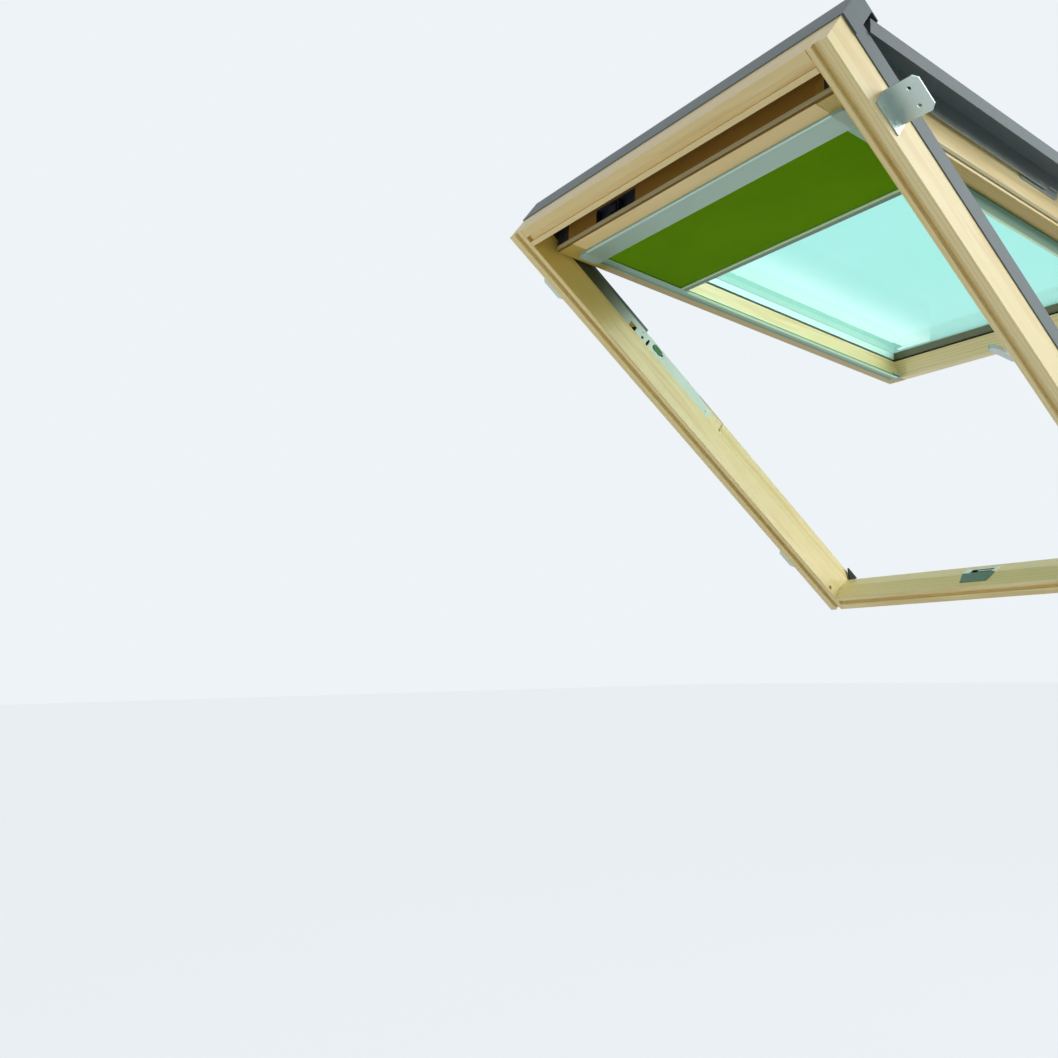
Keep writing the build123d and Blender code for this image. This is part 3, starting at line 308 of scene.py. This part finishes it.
def cloth(name):
    """Green blind cloth: a plain weave with uneven threads."""
    m = Finish(name, Sheen_Weight=0.02, Sheen_Roughness=0.5, Specular_IOR_Level=0.02)
    vector = m.place(SASH_PITCH)
    warp, weft = (m.wave(vector, direction, Scale=340.0, Distortion=0.4, Detail=1.0)
                  for direction in "XY")
    weave = m.math("MULTIPLY", warp, weft)
    slub = m.noise(m.place(SASH_PITCH, (90, 900, 900)), 1.0, 3, 0.6)
    cloud = m.noise(m.place(SASH_PITCH, (2.2, 3.5, 3.5)), 1.5, 2)
    colour = m.mix(m.span(cloud, 0.0, 1.0), rgb(84, 133, 0), rgb(108, 160, 0))
    colour = m.mix(m.span(slub, 0.0, 0.3), colour, rgb(70, 114, 0))
    colour = m.mix(m.span(weave, 0.0, 0.25), colour, rgb(124, 172, 2))
    m.set("Base Color", colour)
    m.set("Roughness", m.span(slub, 0.7, 0.9))
    m.bump(weave, 0.35, 0.0002)
    return m.material


def glazing(name):
    """Clear float glass, faintly green, that lets the lamps' light through."""
    m = Finish(name, Transmission_Weight=1.0, IOR=1.45)
    smear = m.noise(m.place(SASH_PITCH), 3, 2)
    m.set("Base Color", m.mix(smear, rgb(202, 252, 243), rgb(214, 254, 248)))
    m.set("Roughness", m.span(smear, 0.0, 0.012))
    clear = m.add("BsdfTransparent", {"Color": opaque(251, 254, 253)})
    m.show(m.add("LightPath").outputs["Is Shadow Ray"], m.shader, clear)
    return m.material


def spacer(name):
    """Satin aluminium between the panes, black along its lower leg."""
    lower_leg, = sash_y(1034)
    m = Finish(name, Metallic=0.3)
    cloud = m.noise(m.place(SASH_PITCH), 16, 3)
    pale = m.mix(cloud, rgb(226, 230, 228), rgb(240, 243, 241))
    lower = m.math("GREATER_THAN", m.axes(SASH_PITCH)["Y"], lower_leg)
    m.set("Base Color", m.mix(lower, pale, rgb(16, 24, 22)))
    m.set("Roughness", m.span(cloud, 0.42, 0.55))
    return m.material


def assign(material, *names):
    for name in names:
        data = nodes[name].data
        data.materials.clear()
        data.materials.append(material)


# Frame. Places along X, Y and Z are in the turned coordinates, in metres.
STILE_FACE = 0.3532  # X of the stiles' inner faces, and a little more
# Painted shade: the wood behind the hinge plates and behind the strike plate is painted dark
PLATE_POCKET_SHADE = ((0.3583, 0.3705), (-0.8585, -0.5785), (0.0203, 0.0388))
STRIKE_POCKET_SHADE = ((-1, 0.0325), (-2, 2), (-0.0028, 0.0155))
# Painted highlight: the strike plate is pale from this depth outward and dark nearer the room
STRIKE_HIGHLIGHT = (-0.0025, -0.001)

# Painted shade: the stiles' inner faces are darker and warmer near the top, where the open sash
# shades them
assign(pine("pine_frame_stile", PITCH, "y", (0.2, 0.1, 0.0), pocket_shade=PLATE_POCKET_SHADE,
            painted_shade=[("Y", *roof_y(0, 480), STILE_FACE, rgb(236, 220, 148))]),
       "frame_left_stile", "frame_right_stile")
# Painted shade: the top rail is darkened and reddened all over, for the shade in the gap above the
# sash
assign(pine("pine_frame_top", PITCH, "x", (0.3, 0.3, 0.2), 0.15), "frame_top_rail")
assign(pine("pine_frame_bottom", PITCH, "x", (0.0, 0.3, 0.6), pocket_shade=STRIKE_POCKET_SHADE),
       "frame_bottom_rail")
# Painted shade: the hinge plates and pins are dark in their upper part, where the sash shades them,
# and pale from drop 130 to 330 on
assign(metal("plate_steel", rgb(58, 62, 34), 0.5, PITCH, metallic=0.1, specular=0.3,
             painted_light_bands=[("Y", *roof_y(130, 330), rgb(204, 220, 206))]),
       "hinge_plate_left", "hinge_plate_right", "hinge_pin_left", "hinge_pin_right")
assign(metal("strike_steel", rgb(100, 126, 110), 0.35, PITCH, "x", metallic=0.5,
             painted_light_bands=[("Z", *STRIKE_HIGHLIGHT, rgb(208, 226, 216))]),
       "strike_plate")
assign(metal("zinc_steel", rgb(176, 190, 184), 0.38, PITCH),
       "mounting_bracket_upper_left", "mounting_bracket_upper_right",
       "mounting_bracket_lower_left", "mounting_bracket_lower_right", "frame_screws")
assign(plastic("selector_green", rgb(0, 112, 22), 0.45),
       "selector_slide_left", "selector_slide_right")

# Sash
WINDOW_HALF = 1.0  # more than half the window's width: the whole face takes the painted shade

# Painted shade: the sash's top end face is dark brown, and its room side darker, where shade falls
# on them
top_end_shade = ("Y", *sash_y(0.2, 0.8), WINDOW_HALF, rgb(150, 128, 72))
room_side_shade = ("Z", *sash_z(0.2, 0.8), WINDOW_HALF, rgb(196, 186, 124))
assign(pine("pine_sash_stile", SASH_PITCH, "y", (0.7, 0.2, 0.3),
            painted_shade=[room_side_shade, top_end_shade]),
       "sash_left_stile", "sash_right_stile")
# Painted shade: the top rail is darkened and reddened all over, and its top end face is dark brown
assign(pine("pine_sash_top", SASH_PITCH, "x", (0.4, 0.8, 0.1), 0.3, painted_shade=[top_end_shade]),
       "sash_top_rail")
assign(pine("pine_sash_bottom", SASH_PITCH, "x", (0.9, 0.2, 0.5)), "sash_bottom_rail")
assign(metal("arm_steel", rgb(150, 160, 158), 0.4, SASH_PITCH),
       "arm_left", "arm_right", "pivot_pin_left", "pivot_pin_right", "pivot_plate_left",
       "pivot_plate_right", "latch_cam", "blind_roller")
assign(metal("handle_metal", rgb(176, 184, 180), 0.35, SASH_PITCH, metallic=0.8),
       "handle_lever", "handle_rosette")
assign(painted("lock_case", rgb(38, 44, 60), 0.4), "top_lock_case", "corner_catches")
assign(glazing("glass"), "glass_inner_pane", "glass_outer_pane")
assign(spacer("spacer"), "glass_spacer")
assign(rubber("seal_olive", rgb(168, 162, 126)), "sash_gasket")

# Frame and sash
assign(rubber("seal_black", rgb(28, 32, 32)), "corner_seals", "glazing_gasket")
assign(painted("cladding", rgb(92, 104, 106)),
       "frame_cladding_left", "frame_cladding_right", "frame_cladding_bottom", "top_hood",
       "sash_bead_top", "sash_bead_left", "sash_bead_right", "sash_cover_left",
       "sash_cover_right", "sash_cover_bottom", "arm_cover_left", "arm_cover_right")
assign(plastic("corner_plastic", rgb(125, 136, 136), 0.5),
       "cover_corner_left", "cover_corner_right")

# Blind. The guides are paler below the bar, as painted light, and darker towards and on their outer
# side, as painted shade.
GUIDE_STEP_SHADE = (0.295, 0.3)
GUIDE_SIDE_SHADE = (0.301, 0.316)

assign(metal("blind_guide_metal", rgb(138, 166, 142), 0.42, SASH_PITCH, metallic=0.3,
             painted_light_bands=[("Y", *sash_y(304, 316), rgb(212, 238, 202)),
                    ("X", *GUIDE_STEP_SHADE, rgb(132, 172, 144)),
                    ("X", *GUIDE_SIDE_SHADE, rgb(74, 114, 90))]),
       "blind_guide_left", "blind_guide_right")
# Painted highlight: a pale green line along the cassette's lower lip, green as the cloth
assign(metal("blind_front", rgb(150, 174, 162), 0.42, SASH_PITCH, "x", metallic=0.5,
             painted_light_bands=[("Y", *sash_y(81.3, 82.1), rgb(186, 214, 128))]),
       "blind_cassette")
# Painted shade on the bar's lower part, and a painted highlight along its lower edge
assign(metal("blind_bar_metal", rgb(164, 194, 146), 0.42, SASH_PITCH, "x", metallic=0.3,
             painted_light_bands=[("Y", *sash_y(291, 292.5), rgb(94, 124, 102)),
                    ("Y", *sash_y(301.8, 302.6), rgb(176, 202, 176))]),
       "blind_bottom_bar")
assign(plastic("blind_plastic", rgb(158, 184, 168), 0.45), "blind_end_caps", "blind_guide_ends")
cloth_material = cloth("blind_cloth")
assign(cloth_material, "blind_roll")


def grid_faces(columns, rows):
    """The quads of a grid whose points go row by row."""
    wide = columns + 1
    return [(a, a + 1, a + wide + 1, a + wide)
            for a in (j * wide + i for j in range(rows) for i in range(columns))]


def add_mesh(name, points, faces, material):
    """A new object with this mesh, not yet a piece of the model."""
    mesh = bpy.data.meshes.new(name)
    mesh.from_pydata(points, [], faces)
    mesh.materials.append(material)
    piece = bpy.data.objects.new(name, mesh)
    bpy.context.scene.collection.objects.link(piece)
    return piece


def drawn_cloth():
    """The drawn part of the blind: one thin sheet from the roll to the bar, not quite flat."""
    half, top, bottom, depth, waviness = 295.2, 60.5, 287.0, -3.0, 0.55
    columns, rows = 72, 40
    points = []
    for j in range(rows + 1):
        v = j / rows
        for i in range(columns + 1):
            u = 2 * i / columns - 1
            slack = (1 - u ** 6) * math.sin(math.pi * v) ** 0.5
            swell = 0.9 * math.sin(5.2 * u + 1.1 + 1.4 * v) + 0.5 * math.sin(11.0 * u - 2.0 * v)
            points.append(sash(half * u, top + (bottom - top) * v,
                               depth + waviness * slack * swell))
    piece = add_mesh("drawn_cloth", points, grid_faces(columns, rows), cloth_material)
    polygons = piece.data.polygons
    polygons.foreach_set("use_smooth", [True] * len(polygons))
    skin = piece.modifiers.new("skin", "SOLIDIFY")
    skin.thickness = 0.0005
    skin.offset = 0.0
    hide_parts("blind_fabric")
    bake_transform(piece)


drawn_cloth()

# Camera, at the photograph's viewing angle
IMAGE = 1058  # the photograph's width and height in pixels
FOCAL = 1006.75  # the focal length in its pixels
CENTRE_X, CENTRE_Y = 529, 510  # the pixel that the camera faces
SENSOR = 36.0
EYE = Vector((1.17896, -2.0382, -0.16989))
RIGHT = Vector((0.578406, 0.815538, -0.018558))
UP = Vector((0.141404, -0.077831, 0.986888))
FORWARD = Vector((-0.8034, 0.573446, 0.160338))

camera = bpy.data.objects.new("camera", bpy.data.cameras.new("camera"))
bpy.context.scene.collection.objects.link(camera)
camera.matrix_world = Matrix((
    (RIGHT.x, UP.x, -FORWARD.x, EYE.x),
    (RIGHT.y, UP.y, -FORWARD.y, EYE.y),
    (RIGHT.z, UP.z, -FORWARD.z, EYE.z),
    (0, 0, 0, 1),
))
camera.data.sensor_width = SENSOR
camera.data.lens = SENSOR * FOCAL / IMAGE
camera.data.shift_y = (CENTRE_Y - IMAGE / 2) / IMAGE
camera.data.clip_end = 100.0
bpy.context.scene.camera = camera
bpy.context.scene.view_settings.view_transform = "Standard"


def white_world():
    """A world that lights the object weakly and is seen at its full, pale colour."""
    world = bpy.data.worlds.new("world")
    bpy.context.scene.world = world
    world.use_nodes = True
    m = Tree(world.node_tree)
    lighting = m.tree.nodes["Background"]
    lighting.inputs["Color"].default_value = opaque(244, 247, 249)
    lighting.inputs["Strength"].default_value = 0.2
    seen = m.add("Background", {"Color": opaque(238, 243, 247), "Strength": 1.0})
    m.show(m.seen_share(1.0), lighting, seen, "World Output")


def white_floor():
    """A pale floor that keeps some of the shadows and runs to the horizon."""
    height, reach = -1.3, 60
    corners = [(x, y, height) for x, y in
               ((-reach, -reach), (reach, -reach), (reach, reach), (-reach, reach))]
    m = Finish("floor", Roughness=0.9)
    m.set("Base Color", m.mix(m.noise(m.place(), 3, 3), rgb(226, 229, 231), rgb(236, 238, 240)))
    glow = m.add("Emission", {"Color": opaque(243, 248, 252), "Strength": 1.0})
    m.show(m.seen_share(0.88), m.shader, glow)
    floor = add_mesh("floor", corners, [(0, 1, 2, 3)], m.material)


def softbox(name, place, target, size, power):
    """A square area lamp at place, facing target."""
    data = bpy.data.lights.new(name, "AREA")
    data.shape = "SQUARE"
    data.size = size
    data.energy = power
    lamp = bpy.data.objects.new(name, data)
    bpy.context.scene.collection.objects.link(lamp)
    lamp.location = place
    direction = Vector(target) - Vector(place)
    lamp.rotation_euler = direction.to_track_quat("-Z", "Y").to_euler()
    lamp.visible_camera = False
    lamp.visible_transmission = False


def mirrored(across, down, distance):
    """The point that a pixel of the photograph shows mirrored in the glass, this far from it."""
    ray = (FORWARD + RIGHT * (across - CENTRE_X) / FOCAL
           + UP * (CENTRE_Y - down) / FOCAL).normalized()
    pane = sash(0, 500, 38)
    hit = EYE + ray * ((pane - EYE).dot(SASH_OUT) / ray.dot(SASH_OUT))
    return hit + (ray - SASH_OUT * 2 * ray.dot(SASH_OUT)) * distance


def card():
    """A white card that only shows in the glass, brightest along its middle, as the sky does in
    the photograph."""
    rows = [(0.0, -40), (1.0, -12), (1.0, 16), (0.0, 58)]  # brightness, pixels above the line
    columns = (700, 800, 930)
    slope, rise, distance, strength = 0.49, -95, 2.4, 2.6
    points = [mirrored(x, slope * x + rise - above, distance) for _, above in rows for x in columns]
    material = Finish("card")
    value = material.add("Attribute", attribute_name="glow").outputs["Fac"]
    light = material.add("Emission", {"Strength": material.math("MULTIPLY", value, strength)})
    material.show(value, material.add("BsdfTransparent"), light)
    faces = grid_faces(len(columns) - 1, len(rows) - 1)
    piece = add_mesh("card", points, faces, material.material)
    glow = piece.data.attributes.new("glow", "FLOAT", "POINT")
    glow.data.foreach_set("value", [bright for bright, _ in rows for _ in columns])
    piece.visible_camera = False
    piece.visible_diffuse = False
    piece.visible_transmission = False
    piece.visible_shadow = False


# Background, floor, lamps and card
white_world()
white_floor()
softbox("outside", (3.4, 1.9, 1.8), (0, -0.3, 0.35), 2.2, 108)
softbox("low_side", (2.6, 3.2, -0.2), (-0.3, 0.3, -0.2), 1.6, 30)
softbox("sky", (0.9, -1.2, 3.3), (0, 0, 0.1), 2.4, 26)
softbox("room", (-1.0, -2.7, -1.1), (-0.1, -0.3, 0.3), 2.2, 32)
card()
